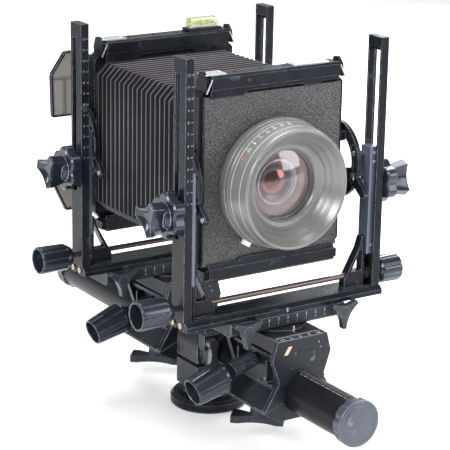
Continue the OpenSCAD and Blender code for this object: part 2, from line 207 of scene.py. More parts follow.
def piece(
    name: str,
    mesh: tuple[Points, Sequence],
    slot: str,
    body: str | None,
    at: Sequence[float] = (0, 0, 0),
    bevel: float = 0,
    replaces: Sequence[str] = (),
    smooth: float = 35,
) -> bpy.types.Object:
    """Makes one finished piece that rides on a body.

    Args:
        name: Name of the piece.
        mesh: Points in millimetres, and faces.
        slot: Material slot, which is also the finish.
        body: Body to ride on, or None for a piece that rides on no body.
        at: Where the points' origin lies, in metres.
        bevel: Width of the rounded edges in millimetres, or 0.
        replaces: CAD nodes that the piece stands for.
        smooth: Edges flatter than this many degrees are shaded smooth.

    Returns:
        The object.
    """
    points, faces = mesh
    data = bpy.data.meshes.new(name)
    data.from_pydata((points * MM + np.array(at)).tolist(), [], [[int(i) for i in f] for f in faces])
    tidy = bmesh.new()
    tidy.from_mesh(data)
    bmesh.ops.remove_doubles(tidy, verts=tidy.verts, dist=1e-6)
    bmesh.ops.dissolve_degenerate(tidy, edges=tidy.edges, dist=1e-7)
    bmesh.ops.recalc_face_normals(tidy, faces=tidy.faces)
    tidy.to_mesh(data)
    tidy.free()
    data.polygons.foreach_set("use_smooth", np.ones(len(data.polygons), bool))
    data.set_sharp_from_angle(angle=math.radians(smooth))
    obj = bpy.data.objects.new(name, data)
    bpy.context.scene.collection.objects.link(obj)
    data.materials.append(FINISHES.material(slot))
    if bevel:
        edge = obj.modifiers.new("edges", "BEVEL")
        edge.width, edge.segments, edge.limit_method = bevel * MM, 2, "ANGLE"
        edge.angle_limit, edge.harden_normals = math.radians(32), True
    if replaces:
        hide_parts(*replaces)
    if body is not None:
        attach(obj, body)
    log.info("piece %s on %s", name, body)
    return obj


# ---- finishes ----


class Nodes:
    """A node tree with short calls to add and link nodes."""

    def __init__(self, tree: bpy.types.NodeTree) -> None:
        """Keeps the tree that nodes are added to."""
        self.tree = tree

    def add(self, kind: str, settings: dict | None = None, **inputs: object) -> bpy.types.Node:
        """Adds a node.

        Args:
            kind: Node type without the ShaderNode in front.
            settings: Properties of the node.
            **inputs: Sockets to link or values to set, with underscores for spaces, or i0, i1 by number.

        Returns:
            The node.
        """
        node = self.tree.nodes.new("ShaderNode" + kind)
        for key, value in (settings or {}).items():
            setattr(node, key, value)
        for key, value in inputs.items():
            numbered = key[0] == "i" and key[1:].isdigit()
            socket = node.inputs[int(key[1:])] if numbered else node.inputs[key.replace("_", " ")]
            if isinstance(value, bpy.types.NodeSocket):
                self.tree.links.new(value, socket)
            else:
                socket.default_value = value
        return node

    def place(self) -> Socket:
        """The object coordinates."""
        return self.add("TexCoord").outputs["Object"]

    def math(self, operation: str, a: object, b: object = 0.0) -> Socket:
        """A Math node's result."""
        return self.add("Math", {"operation": operation}, i0=a, i1=b).outputs[0]

    def spread(self, value: Socket, lo: float, hi: float, to_lo: float = 0, to_hi: float = 1) -> Socket:
        """Maps a value from one range to another and keeps it inside."""
        return self.add("MapRange", None, Value=value, From_Min=lo, From_Max=hi, To_Min=to_lo, To_Max=to_hi).outputs[0]

    def mix(self, factor: object, a: object, b: object) -> Socket:
        """Mixes two colours."""
        return self.add("Mix", {"data_type": "RGBA"}, i0=factor, i6=a, i7=b).outputs[2]


def group(name: str, inputs: dict[str, float], outputs: dict[str, str]) -> tuple[bpy.types.NodeTree, Nodes, dict]:
    """Starts a shader node group.

    Args:
        name: Name of the group.
        inputs: Value inputs with their usual values.
        outputs: Outputs with their socket types.

    Returns:
        The tree, the node helper, and the input sockets by name.
    """
    tree = bpy.data.node_groups.new(name, "ShaderNodeTree")
    for key, value in inputs.items():
        tree.interface.new_socket(key, in_out="INPUT", socket_type="NodeSocketFloat").default_value = value
    for key, kind in outputs.items():
        tree.interface.new_socket(key, in_out="OUTPUT", socket_type=kind)
    n = Nodes(tree)
    given = tree.nodes.new("NodeGroupInput")
    return tree, n, {key: given.outputs[key] for key in inputs}


def give(tree: bpy.types.NodeTree, **results: Socket) -> None:
    """Links results to a group's outputs."""
    out = tree.nodes.new("NodeGroupOutput")
    for key, value in results.items():
        tree.links.new(value, out.inputs[key])


def grain_group() -> bpy.types.NodeTree:
    """Fine grain with slow blotches: Patch is the slow noise and Height the fine one."""
    tree, n, g = group("surface_grain", {"Scale": 900}, {"Patch": "NodeSocketFloat", "Height": "NodeSocketFloat"})
    where = n.place()
    fine = n.add("TexNoise", None, Vector=where, Scale=g["Scale"], Detail=3.0).outputs[0]
    slow = n.add("TexNoise", None, Vector=where, Scale=n.math("MULTIPLY", g["Scale"], 0.04), Detail=5.0).outputs[0]
    give(tree, Patch=n.spread(slow, 0.3, 0.7), Height=fine)
    return tree


def edge_group() -> bpy.types.NodeTree:
    """Pale edges, partly wear and partly a painted highlight where light catches the rounded edges: 1 minus how far
    the rounded normal agrees with the true one, broken up by noise.
    """
    tree, n, g = group("edge_wear_and_highlight", {"Radius": 0.0006}, {"Mask": "NodeSocketFloat"})
    soft = n.add("Bevel", {"samples": 4}, Radius=g["Radius"]).outputs[0]
    true = n.add("NewGeometry").outputs["Normal"]
    agree = n.add("VectorMath", {"operation": "DOT_PRODUCT"}, i0=soft, i1=true).outputs["Value"]
    where = n.place()
    noise = n.add("TexNoise", None, Vector=where, Scale=260.0, Detail=4.0).outputs[0]
    edge = n.spread(n.math("SUBTRACT", 1.0, agree), 0.02, 0.2)
    give(tree, Mask=n.math("MULTIPLY", edge, n.spread(noise, 0.25, 0.6)))
    return tree


def dust_group() -> bpy.types.NodeTree:
    """Dust that lies on faces that look up, in soft specks."""
    tree, n, g = group("dust", {"Amount": 0.2}, {"Mask": "NodeSocketFloat"})
    up = n.add("SeparateXYZ", None, Vector=n.add("NewGeometry").outputs["Normal"]).outputs[2]
    where = n.place()
    specks = n.add("TexNoise", None, Vector=where, Scale=1500.0, Detail=2.0).outputs[0]
    lying = n.math("MULTIPLY", n.spread(up, 0.3, 1.0), n.spread(specks, 0.5, 0.75))
    give(tree, Mask=n.math("MULTIPLY", lying, g["Amount"]))
    return tree


def scuff_group() -> bpy.types.NodeTree:
    """Short fine scratches: noise drawn out along one axis and kept only at its crests."""
    tree, n, g = group("scuffs", {"Scale": 70}, {"Mask": "NodeSocketFloat"})
    where = n.place()
    long = n.add("Mapping", None, Vector=where, Rotation=(0.3, 0.5, 0.8), Scale=(1, 14, 1)).outputs[0]
    lines = n.add("TexNoise", None, Vector=long, Scale=g["Scale"], Detail=2.0).outputs[0]
    give(tree, Mask=n.spread(lines, 0.66, 0.74))
    return tree


@dataclass(frozen=True)
class Finish:
    """A painted, anodised or moulded surface.

    Attributes:
        base: Main colour, linear.
        patch: Colour of the slow blotches.
        edge: Colour along the edges, on the metals partly wear and partly a painted highlight, and of the scratches.
        metallic: Metallic of the surface.
        rough: Lowest and highest roughness.
        scale: Scale of the grain.
        bump: Strength of the grain's bump.
        wear: How strongly the pale edges show, partly wear and partly a painted highlight; on folded cloth, how pale
            the crests are painted.
        radius: Width of the edges in metres.
        scuff: How strongly scratches show.
        dust: How much dust lies on top.
        coat: Weight of the clear coat.
        transmission: Share of light let through.
        ior: Index of refraction.
        tint: Colour of the reflections.
        specular: Level of the reflections.
    """

    base: tuple[float, float, float]
    patch: tuple[float, float, float]
    edge: tuple[float, float, float]
    metallic: float = 0.0
    rough: tuple[float, float] = (0.3, 0.45)
    scale: float = 900
    bump: float = 0.08
    wear: float = 0.6
    radius: float = 0.0006
    scuff: float = 0.1
    dust: float = 0.15
    coat: float = 0.0
    transmission: float = 0.0
    ior: float = 1.5
    tint: tuple[float, float, float] = (1.0, 1.0, 1.0)
    specular: float = 0.5

    def worn(self, n: Nodes, groups: dict[str, bpy.types.NodeTree], colour: Socket) -> Socket:
        """Lays the pale edges, partly wear and partly a painted highlight, over a colour."""
        edge = n.add("Group", {"node_tree": groups["edge"]}, Radius=self.radius).outputs[0]
        return n.mix(n.math("MULTIPLY", edge, self.wear), colour, (*self.edge, 1))

    def paint(self, n: Nodes, groups: dict[str, bpy.types.NodeTree], shader: bpy.types.Node) -> Socket:
        """Links colour, roughness and normal to the shader.

        Args:
            n: Helper for the material's nodes.
            groups: The shared node groups.
            shader: The Principled node.

        Returns:
            The colour before any print is laid on it.
        """
        grain = n.add("Group", {"node_tree": groups["grain"]}, Scale=float(self.scale))
        colour = n.mix(grain.outputs["Patch"], (*self.base, 1), (*self.patch, 1))
        if self.scuff:
            scuff = n.add("Group", {"node_tree": groups["scuff"]}).outputs[0]
            colour = n.mix(n.math("MULTIPLY", scuff, self.scuff), colour, (*self.edge, 1))
        # pale edges: partly wear, partly a painted highlight
        if self.wear:
            colour = self.worn(n, groups, colour)
        if self.dust:
            dust = n.add("Group", {"node_tree": groups["dust"]}, Amount=self.dust).outputs[0]
            colour = n.mix(dust, colour, DUST_COLOUR)
        rough = n.spread(grain.outputs["Patch"], 0, 1, *self.rough)
        n.tree.links.new(rough, shader.inputs["Roughness"])
        round_edge = n.add("Bevel", {"samples": 4}, Radius=self.radius).outputs[0]
        height = grain.outputs["Height"]
        bump = n.add("Bump", None, Strength=self.bump, Distance=0.0002, Height=height, Normal=round_edge)
        n.tree.links.new(bump.outputs[0], shader.inputs["Normal"])
        return colour


@dataclass(frozen=True)
class Crinkle(Finish):
    """Wrinkle paint: cells of two sizes lighten the crests and raise them."""

    crest: tuple[float, float, float] = (0.3, 0.3, 0.31)

    def paint(self, n: Nodes, groups: dict[str, bpy.types.NodeTree], shader: bpy.types.Node) -> Socket:
        """Links the crinkle's colour, roughness and normal to the shader."""
        where = n.place()
        voronoi = n.add("TexVoronoi", {"feature": "SMOOTH_F1"}, Vector=where, Scale=float(self.scale))
        cells = voronoi.outputs["Distance"]
        noise = n.add("TexNoise", None, Vector=where, Scale=self.scale * 1.3, Detail=4.0, Roughness=0.7).outputs[0]
        height = n.math("ADD", n.spread(cells, 0, 0.8, 1, 0), noise)
        crest = n.spread(height, 0.85, 1.35)
        colour = n.mix(crest, (*self.base, 1), (*self.crest, 1))
        # pale edges: partly wear, partly a painted highlight
        colour = self.worn(n, groups, colour)
        n.tree.links.new(n.spread(crest, 0, 1, *self.rough[::-1]), shader.inputs["Roughness"])
        bump = n.add("Bump", None, Strength=self.bump, Distance=0.0006, Height=height)
        n.tree.links.new(bump.outputs[0], shader.inputs["Normal"])
        return colour


@dataclass(frozen=True)
class Folded(Finish):
    """Coated bellows cloth: the attribute fold is 1 on a crest and 0 in a valley; crests are painted paler, and faces
    that look up get a painted purple light.
    """

    crest: tuple[float, float, float] = (0.32, 0.33, 0.34)

    def paint(self, n: Nodes, groups: dict[str, bpy.types.NodeTree], shader: bpy.types.Node) -> Socket:
        """Links the cloth's colour, roughness and weave to the shader."""
        fold = n.add("Attribute", {"attribute_name": "fold"}).outputs["Fac"]
        grain = n.add("Group", {"node_tree": groups["grain"]}, Scale=float(self.scale))
        where = n.place()
        weave = n.add("TexVoronoi", None, Vector=where, Scale=1900.0).outputs["Distance"]
        up = n.add("SeparateXYZ", None, Vector=n.add("NewGeometry").outputs["Normal"]).outputs[2]
        cloth = n.mix(grain.outputs["Patch"], (*self.base, 1), (*self.patch, 1))
        # painted light: faces that look up turn purple
        cloth = n.mix(n.spread(up, 0.3, 0.75), cloth, PAINTED_TOP_LIGHT)
        # crests painted paler, in patches
        paler_crests = n.math("MULTIPLY", n.spread(fold, 0.88, 0.99), n.spread(grain.outputs["Patch"], 0, 1, 0.6, 1.0))
        colour = n.mix(n.math("MULTIPLY", paler_crests, self.wear), cloth, (*self.crest, 1))
        n.tree.links.new(n.spread(grain.outputs["Patch"], 0, 1, *self.rough), shader.inputs["Roughness"])
        bump = n.add("Bump", None, Strength=self.bump, Distance=0.0003, Height=weave)
        n.tree.links.new(bump.outputs[0], shader.inputs["Normal"])
        return colour


@dataclass(frozen=True)
class Brushed(Finish):
    """Machined metal: lines of noise drawn out along X."""

    def paint(self, n: Nodes, groups: dict[str, bpy.types.NodeTree], shader: bpy.types.Node) -> Socket:
        """Links the brushed lines to colour, roughness and normal."""
        where = n.place()
        drawn = n.add("Mapping", None, Vector=where, Scale=(0.04, 1, 1)).outputs[0]
        lines = n.add("TexNoise", None, Vector=drawn, Scale=float(self.scale), Detail=3.0).outputs[0]
        colour = n.mix(n.spread(lines, 0.3, 0.7), (*self.base, 1), (*self.patch, 1))
        # pale edges: partly wear, partly a painted highlight
        colour = self.worn(n, groups, colour)
        n.tree.links.new(n.spread(lines, 0.3, 0.7, *self.rough), shader.inputs["Roughness"])
        bump = n.add("Bump", None, Strength=self.bump, Distance=0.0001, Height=lines)
        n.tree.links.new(bump.outputs[0], shader.inputs["Normal"])
        return colour


# The third colour of each finish is its edge colour: on the metals and knobs, partly wear and partly a painted
# highlight.
TABLE: dict[str, Finish] = {
    "black_metal": Finish((0.008, 0.009, 0.013), (0.015, 0.017, 0.023), (0.42, 0.46, 0.56), 0.15, (0.22, 0.36),
                          dust=0.02, wear=1.0, specular=0.13),
    "cast_metal": Finish((0.011, 0.013, 0.017), (0.026, 0.03, 0.038), (0.42, 0.46, 0.56), 0.25, (0.3, 0.5), 520,
                         0.35, 1.0, 0.0008, 0.3, 0.12, specular=0.25),
    "blue_metal": Finish((0.1, 0.115, 0.17), (0.13, 0.145, 0.21), (0.45, 0.48, 0.6), 0.4, (0.3, 0.42), dust=0.08),
    "cap_metal": Finish((0.06, 0.07, 0.092), (0.085, 0.096, 0.122), (0.6, 0.63, 0.72), 0.45, (0.3, 0.45), 500, 0.1,
                        0.8, 0.0008, 0.2, 0.05),
    "rail_metal": Finish((0.006, 0.0065, 0.009), (0.011, 0.012, 0.015), (0.2, 0.21, 0.25), 0.1, (0.3, 0.4),
                         dust=0.0, specular=0.13),
    "rack_steel": Brushed((0.03, 0.03, 0.03), (0.12, 0.12, 0.115), (0.6, 0.58, 0.52), 0.9, (0.3, 0.45), 1500, 0.1,
                          0.3),
    "knob": Finish((0.014, 0.019, 0.029), (0.024, 0.031, 0.046), (0.34, 0.4, 0.52), 0.45, (0.16, 0.28), 500, 0.05,
                   0.9, 0.0011, 0.1, 0.04, 0.3, specular=0.35),
    "lever": Finish((0.022, 0.026, 0.035), (0.036, 0.041, 0.053), (0.4, 0.43, 0.52), 0.3, (0.28, 0.42), 700, 0.15,
                    0.9, dust=0.06, specular=0.35),
    "steel": Brushed((0.42, 0.43, 0.48), (0.62, 0.63, 0.69), (0.85, 0.86, 0.9), 0.85, (0.24, 0.4), 1800, 0.1, 0.4),
    "dark_steel": Brushed((0.1, 0.11, 0.13), (0.17, 0.18, 0.21), (0.55, 0.58, 0.65), 0.8, (0.28, 0.42), 900, 0.1, 0.6),
    "rod": Brushed((0.07, 0.052, 0.048), (0.13, 0.1, 0.09), (0.4, 0.34, 0.3), 0.7, (0.22, 0.36), 1400, 0.1, 0.3),
    "brass": Brushed((0.36, 0.3, 0.18), (0.5, 0.43, 0.28), (0.8, 0.74, 0.56), 0.9, (0.25, 0.4), 1500, 0.1, 0.3),
    "board": Crinkle((0.016, 0.016, 0.018), (0.05, 0.05, 0.052), (0.3, 0.3, 0.33), 0.0, (0.4, 0.68), 1250, 0.8,
                     0.4, crest=(0.24, 0.24, 0.25)),
    "lens_metal": Finish((0.15, 0.155, 0.149), (0.185, 0.19, 0.184), (0.66, 0.68, 0.66), 0.25, (0.24, 0.36), 700,
                         0.06, 0.5, 0.0006, 0.12, 0.0),
    "lens_inside": Finish((0.13, 0.14, 0.15), (0.18, 0.19, 0.2), (0.4, 0.42, 0.44), 0.2, (0.22, 0.36), 700, 0.05,
                          0.4, 0.0005, 0.06, 0.0),
    # painted reflections inside the lens: a rose-brown glow and a pale ring
    "lens_rose_reflection": Finish((0.3, 0.21, 0.2), (0.38, 0.28, 0.26), (0.6, 0.5, 0.5), 0.1, (0.2, 0.34), 500, 0.03, 0.4,
                        0.0005, 0.0, 0.0),
    "lens_pale_reflection": Finish((0.5, 0.53, 0.58), (0.62, 0.65, 0.7), (0.8, 0.8, 0.85), 0.2, (0.15, 0.25), 500, 0.03, 0.4,
                        0.0005, 0.0, 0.0),
    "lens_glass": Finish((0.93, 0.9, 0.93), (0.96, 0.92, 0.95), (1, 1, 1), 0.0, (0.01, 0.03), 200, 0.0, 0.0,
                         0.0004, 0.0, 0.0, 0.0, 1.0, 1.45),
    "coated_glass": Finish((0.92, 0.86, 0.88), (0.95, 0.9, 0.9), (1, 1, 1), 0.0, (0.02, 0.05), 200, 0.0, 0.0,
                           0.0004, 0.0, 0.0, 0.0, 1.0, 1.7, tint=(1.0, 0.38, 0.3)),
    "bellows": Folded((0.006, 0.0062, 0.008), (0.011, 0.011, 0.014), (0.3, 0.3, 0.3), 0.0, (0.42, 0.6), 600, 0.2,
                      0.9, specular=0.15, crest=(0.24, 0.25, 0.27)),
    "ground_glass": Finish((0.55, 0.6, 0.59), (0.62, 0.66, 0.65), (0.9, 0.92, 0.9), 0.0, (0.5, 0.7), 1600, 0.5,
                           0.2, 0.0004, 0.0, 0.05, 0.0, 0.3, 1.5),
    "smoked": Finish((0.2, 0.18, 0.165), (0.3, 0.28, 0.26), (0.1, 0.09, 0.08), 0.0, (0.08, 0.2), 300, 0.03, 0.5,
                     0.0012, 0.1, 0.1, 0.2, 0.5, 1.49),
    "level": Finish((0.86, 0.9, 0.82), (0.92, 0.94, 0.88), (1, 1, 1), 0.0, (0.03, 0.1), 300, 0.02, 0.3, 0.0005,
                    0.0, 0.0, 0.3, 0.85, 1.45),
    "spirit": Finish((0.6, 0.7, 0.03), (0.8, 0.85, 0.2), (0.9, 1, 0.3), 0.0, (0.1, 0.2), 500, 0.0, 0.0, 0.0004,
                     0.0, 0.0, 0.0, 0.4, 1.33),
    "print": Finish((0.34, 0.37, 0.43), (0.25, 0.27, 0.32), (0.6, 0.62, 0.66), 0.0, (0.5, 0.65), 900, 0.0, 0.0,
                    0.0002, 0.1, 0.0),
    "white_print": Finish((0.8, 0.81, 0.82), (0.68, 0.69, 0.7), (0.9, 0.9, 0.9), 0.0, (0.4, 0.55), 900, 0.0, 0.0,
                          0.0002, 0.1, 0.0),
    "red": Finish((0.7, 0.06, 0.05), (0.8, 0.1, 0.08), (0.8, 0.2, 0.2), 0.0, (0.4, 0.5), 600, 0.0, 0.0, 0.0002,
                  0.0, 0.0),
    "gold": Brushed((0.62, 0.44, 0.27), (0.76, 0.58, 0.4), (0.9, 0.8, 0.6), 0.4, (0.35, 0.5), 900, 0.1, 0.3),
}
# finishes that the record has no slot for take the nearest slot's name on their piece
# CAD nodes with a finish of their own
CAST_PARTS = ("carriage", "jaw", "swing_head", "shift_bar")
OWN_FINISH = {"clamp_lever": "dark_steel", "clamp_block": "cast_metal",
              **{f"{side}_{part}": "cast_metal" for side in SIDES for part in CAST_PARTS}}


class Finishes:
    """The materials, each made once when first asked for."""

    def __init__(self) -> None:
        """Makes the shared groups."""
        self.groups = {"grain": grain_group(), "edge": edge_group(), "dust": dust_group(), "scuff": scuff_group()}
        self.made: dict[str, bpy.types.Material] = {}

    def material(self, name: str) -> bpy.types.Material:
        """The material of a finish."""
        if name not in self.made:
            self.made[name] = self._build(name, TABLE[name])
        return self.made[name]

    def _build(self, name: str, finish: Finish) -> bpy.types.Material:
        """Makes one material from its finish."""
        mat = bpy.data.materials.new(name)
        mat.use_nodes = True
        mat.node_tree.nodes.clear()
        n = Nodes(mat.node_tree)
        shader = n.add("BsdfPrincipled")
        shader.inputs["Metallic"].default_value = finish.metallic
        shader.inputs["Coat Weight"].default_value = finish.coat
        shader.inputs["Coat Roughness"].default_value = COAT_ROUGHNESS
        shader.inputs["Transmission Weight"].default_value = finish.transmission
        shader.inputs["IOR"].default_value = finish.ior
        shader.inputs["Specular Tint"].default_value = (*finish.tint, 1)
        shader.inputs["Specular IOR Level"].default_value = finish.specular
        colour = finish.paint(n, self.groups, shader)
        mat.node_tree.links.new(colour, shader.inputs["Base Color"])
        out = n.add("OutputMaterial")
        mat.node_tree.links.new(shader.outputs[0], out.inputs[0])
        return mat


FINISHES = Finishes()


def dress_nodes() -> None:
    """Gives each CAD node the finish of its slot in the record."""
    for part in frame["record"]["subparts"]:
        obj = frame["nodes"][part["node"]]
        obj.data.materials.clear()
        obj.data.materials.append(FINISHES.material(OWN_FINISH.get(part["node"], part["material_slot"])))


# ---- prints: ticks and numerals ----


def numerals(words: Sequence[tuple[str, float, float]], height: float, thick: float = 0.08) -> tuple[Points, list]:
    """Numbers drawn in the XZ plane, facing -Y, as thin solids.

    Args:
        words: Text of each number with the x and z of its middle.
        height: Height of a digit in millimetres.
        thick: How far the print stands out of y = 0.

    Returns:
        Points and faces of all the numbers.
    """
    parts = []
    for text, x, z in words:
        curve = bpy.data.curves.new("digits", "FONT")
        curve.body, curve.size, curve.align_x, curve.align_y = text, height * 1.4, "CENTER", "CENTER"
        curve.extrude, curve.resolution_u = thick / 2, 2
        holder = bpy.data.objects.new("digits", curve)
        bpy.context.scene.collection.objects.link(holder)
        bpy.context.view_layer.update()
        shape = bpy.data.meshes.new_from_object(holder.evaluated_get(bpy.context.evaluated_depsgraph_get()))
        p = np.zeros(len(shape.vertices) * 3)
        shape.vertices.foreach_get("co", p)
        p = p.reshape(-1, 3)
        stood = np.stack([p[:, 0] + x, -p[:, 2], p[:, 1] + z], -1)
        parts.append((stood, [list(f.vertices) for f in shape.polygons]))
        bpy.data.objects.remove(holder)
        bpy.data.curves.remove(curve)
        bpy.data.meshes.remove(shape)
    return joined(parts)


@dataclass
class OnStandard:
    """Pieces that are made in one standard's own frame.

    Attributes:
        side: Which standard, front or rear.
    """

    side: str

    def __post_init__(self) -> None:
        """Finds the standard's own frame."""
        self.at = place_of(self.side)

    def add(self, name: str, mesh: tuple[Points, Sequence], slot: str, part: str, **more: object) -> bpy.types.Object:
        """Makes a piece of this standard that rides on one of its bodies."""
        return piece(f"{self.side}_{name}", mesh, slot, f"{self.side}_{part}", self.at, **more)


@dataclass
class Standard(OnStandard):
    """One standard's place and its printed scales, plates and screws.

    Attributes:
        marks: Number of centimetre marks on a post.
        first_mark: Height of the lowest centimetre mark.
        pitch: Distance between marks.
        bar_front: Front face of the shift bar.
        block_front: Front face of the carriage.
        top_bar: Height of the top clamp bar's upper face.
    """

    marks: int = 12
    first_mark: float = 104.9
    pitch: float = 10
    bar_front: float = -6
    block_front: float = -29
    top_bar: float = 206.5

    def build(self) -> None:
        """Makes everything on the standard."""
        self.post_scale()
        self.shift_scale()
        self.swing_scale()
        self.clamp_plates()
        self.fasteners()
        self.carriage_marks()

    def post_scale(self) -> None:
        """Centimetre marks on the front of the left post, numbered upwards, with ticks at the inner edge."""
        rows = [(i + 1, self.first_mark + self.pitch * i) for i in range(self.marks)]
        digits = numerals([(str(n), -102.2, z) for n, z in rows], 2.3)
        ticks = [box((-99.4, -0.08, z - 0.25), (-97.4, 0.04, z + 0.25)) for _, z in rows]
        self.add("post_scale", joined([digits, *ticks]), "print", "u_frame")

    def shift_scale(self) -> None:
        """Centimetre ticks on the shift bar and the white index on the base bar."""
        reach = range(-4, 6)
        ticks = [box((10 * i - 0.4, self.bar_front - 0.08, -12.6), (10 * i + 0.4, self.bar_front + 0.1, -9.4))
                 for i in reach]
        digits = numerals([(str(abs(i)), 10 * i, -15.2) for i in reach], 2.2)
        digits = (digits[0] + np.array([0, self.bar_front, 0]), digits[1])
        self.add("shift_scale", joined([*ticks, digits]), "print", "head")
        grooves = [box((-96, y, -0.3), (96, y + 0.7, 0.18)) for y in (1.5, 19.5)]
        self.add("bar_beads", joined(grooves), "black_metal", "u_frame", bevel=0.15)
        self.add("shift_index", box((-0.7, -5.1, -6.6), (0.7, -4.9, -2.6)), "print", "u_frame")

    def swing_scale(self) -> None:
        """Degree ticks and numerals on the top plate, with the gold pointer of the swing head over them."""
        ticks = [box((2.2 * i - 0.22, -21.5 if i % 5 else -22.6, -23.05), (2.2 * i + 0.22, -19.2, -22.88))
                 for i in range(-10, 11)]
        digits, faces = numerals([(str(abs(n) * 5), 9.6 * n, 0) for n in (-2, -1, 0, 1, 2)], 3.4)
        flat = np.stack([digits[:, 0], digits[:, 2] - 25.4, -22.9 - digits[:, 1]], -1)
        self.add("swing_scale", joined([*ticks, (flat, faces)]), "white_print", "carriage")
        rim = [box((-25.5, -28.6, -23.05), (25.5, -28.2, -22.86)), box((-25.5, -28.4, -23.05), (-25.1, -15, -22.86)),
               box((25.1, -28.4, -23.05), (25.5, -15, -22.86))]
        self.add("scale_rim", joined(rim), "print", "carriage")
        self.add("swing_pointer", box((-0.6, -15.6, -22.4), (0.6, -14.9, -16.5)), "gold", "head", bevel=0.2)

    def carriage_marks(self) -> None:
        """Gold patch, dark arrow marks and white dots on the carriage's front plate."""
        y = self.block_front
        patch = prism([(-15, -29), (-11, -29), (-15.5, -36.4), (-19.5, -36.4)], y - 0.12, y + 0.05, Along.Y)
        self.add("gold_patch", patch, "gold", "carriage")
        arrows = [prism([(x, -36.4), (x + 4.4, -33.2), (x + 4.4, -36.4)], y - 0.1, y + 0.05, Along.Y)
                  for x in (-6, 1, 6)]
        self.add("arrow_marks", joined(arrows), "rail_metal", "carriage")
        ribs = []
        for sign in (-1, 1):
            lo, hi = sorted((sign * 21.5, sign * 29))
            ribs += [box((lo, -24.2, -46), (hi, -21.8, -40)), box((lo, -16, -68), (hi, -13.6, -44)),
                     box((lo, -24.2, -66), (hi, -4, -63.6)), box((lo, 26, -66), (hi, 40.2, -63.6)),
                     box((lo, 28, -64), (hi, 30.4, -44))]
            shelf = [(sign * 20, -44), (sign * 27.5, -41), (sign * 27.5, -37.5), (sign * 20, -38)]
            ribs.append(prism(shelf, -24.2, 40.2, Along.Y))
        self.add("carriage_ribs", joined(ribs), "cast_metal", "carriage", bevel=0.4)
        heads = [screw((sign * 24.4, 6 + k, -64), (0, 0, 1), 2.2, 1.4) for sign in (-1, 1) for k in (-14, 26)]
        self.add("rib_screws", joined(heads), "steel", "carriage")
        dots = [prism(circle(0.7, 10, (x, z)), y - 0.1, y + 0.05, Along.Y) for x, z in ((17.7, -30), (20, -35))]
        self.add("plate_dots", joined(dots), "print", "carriage")

    def clamp_plates(self) -> None:
        """Bright plates and screws on the top clamp bar, dark discs of painted shade for its tapped holes, and the
        small latch tabs at its ends.
        """
        z = self.top_bar
        spans = ((-71, -50), (20, 58)) if self.side == "front" else ((-70, -44),)
        for i, (x0, x1) in enumerate(spans):
            plate = prism(rounded([(x0, 23), (x1, 23), (x1, 37), (x0, 37)], 1.4), z - 0.1, z + 0.9, Along.Z)
            self.add(f"top_plate_{i}", plate, "steel", "frame", bevel=0.2)
            spots = ((x0 + 3.5, 30), (x1 - 3.5, 30))
            screws = [screw((x, y, z + 0.8), (0, 0, 1), 1.7, 1.0) for x, y in spots]
            self.add(f"top_screws_{i}", joined(screws), "steel", "frame")
        # dark discs: painted shade standing for the tapped holes
        hole_shades = [disc_cup((x, 30, z + 0.02), (0, 0, 1), 1.7, 0.35) for x in (-38, -11, 14)]
        self.add("top_hole_shades", joined(hole_shades), "rail_metal", "frame")
        for i, sign in enumerate((-1, 1)):
            wire = [(sign * 73.2, 192.4), (sign * 72.2, 191.8), (sign * 66.6, 203.6), (sign * 67.6, 204.2)]
            self.add(f"latch_{i}", prism(wire, 18.2, 19.4, Along.Y), "steel", "frame", bevel=0.25)
            ear = prism([(20, 193), (35, 193), (37, 199), (33, 209), (27, 210), (21, 204)], sign * 69, sign * 72,
                        Along.X)
            self.add(f"ear_{i}", ear, "black_metal", "frame", bevel=0.5)

    def fasteners(self) -> None:
        """Screw heads on the carriers and tilt arcs, and a nut on each clamp knob's bolt."""
        for i, (sign, word) in enumerate(((-1, "left"), (1, "right"))):
            spots = [(sign * 96.5, 3.6, z) for z in (38, 116, 124)]
            heads = [screw(p, (0, -1, 0), 1.5, 0.7) for p in spots]
            self.add(f"carrier_screws_{i}", joined(heads), "steel", "carriers")
            link = [screw((sign * 86, 1.2, 88.5), (sign, 0, 0), 2.4, 1.0),
                    screw((sign * 86, 30, 138), (sign, 0, 0), 1.8, 1)]
            self.add(f"arc_screws_{i}", joined(link), "steel", "frame")
            nut = lathe(rounded([(2.6, 0), (4.4, 0), (4.4, 3), (2.6, 3)], 0.5, 2), 24)
            self.add(f"clamp_nut_{word}", (aim(nut[0], (sign, 0, 0), (sign * 87.2, *CLAMP_AXIS)), nut[1]), "steel",
                     f"clamp_knob_{word}")


def circle(r: float, steps: int, at: tuple[float, float] = (0, 0)) -> list[tuple[float, float]]:
    """Points round a circle."""
    a = np.arange(steps) * 2 * math.pi / steps
    return [(at[0] + r * math.cos(t), at[1] + r * math.sin(t)) for t in a]


def winged(count: int, r: float, waist: float, tip: float, turn: float = 0) -> list[tuple[float, float]]:
    """An outline with cut tips and hollow sides.

    Each side is the quadratic curve from one tip's corner to the next tip's corner, with its middle at the waist.

    Args:
        count: Number of tips.
        r: Distance of the tips from the middle.
        waist: Distance of the sides' middles from the middle.
        tip: Half the width of a cut tip.
        turn: Angle of the first tip in degrees.

    Returns:
        The points, anticlockwise.
    """
    points = []
    for i in range(count):
        a, b = (math.radians(turn) + 2 * math.pi * (i + k) / count for k in (0, 1))
        start = np.array([r * math.cos(a) - tip * math.sin(a), r * math.sin(a) + tip * math.cos(a)])
        end = np.array([r * math.cos(b) + tip * math.sin(b), r * math.sin(b) - tip * math.cos(b)])
        middle = waist * np.array([math.cos((a + b) / 2), math.sin((a + b) / 2)])
        pull = 2 * middle - (start + end) / 2
        for t in np.linspace(0, 1, 13):
            points.append(tuple((1 - t) ** 2 * start + 2 * t * (1 - t) * pull + t * t * end))
    return points


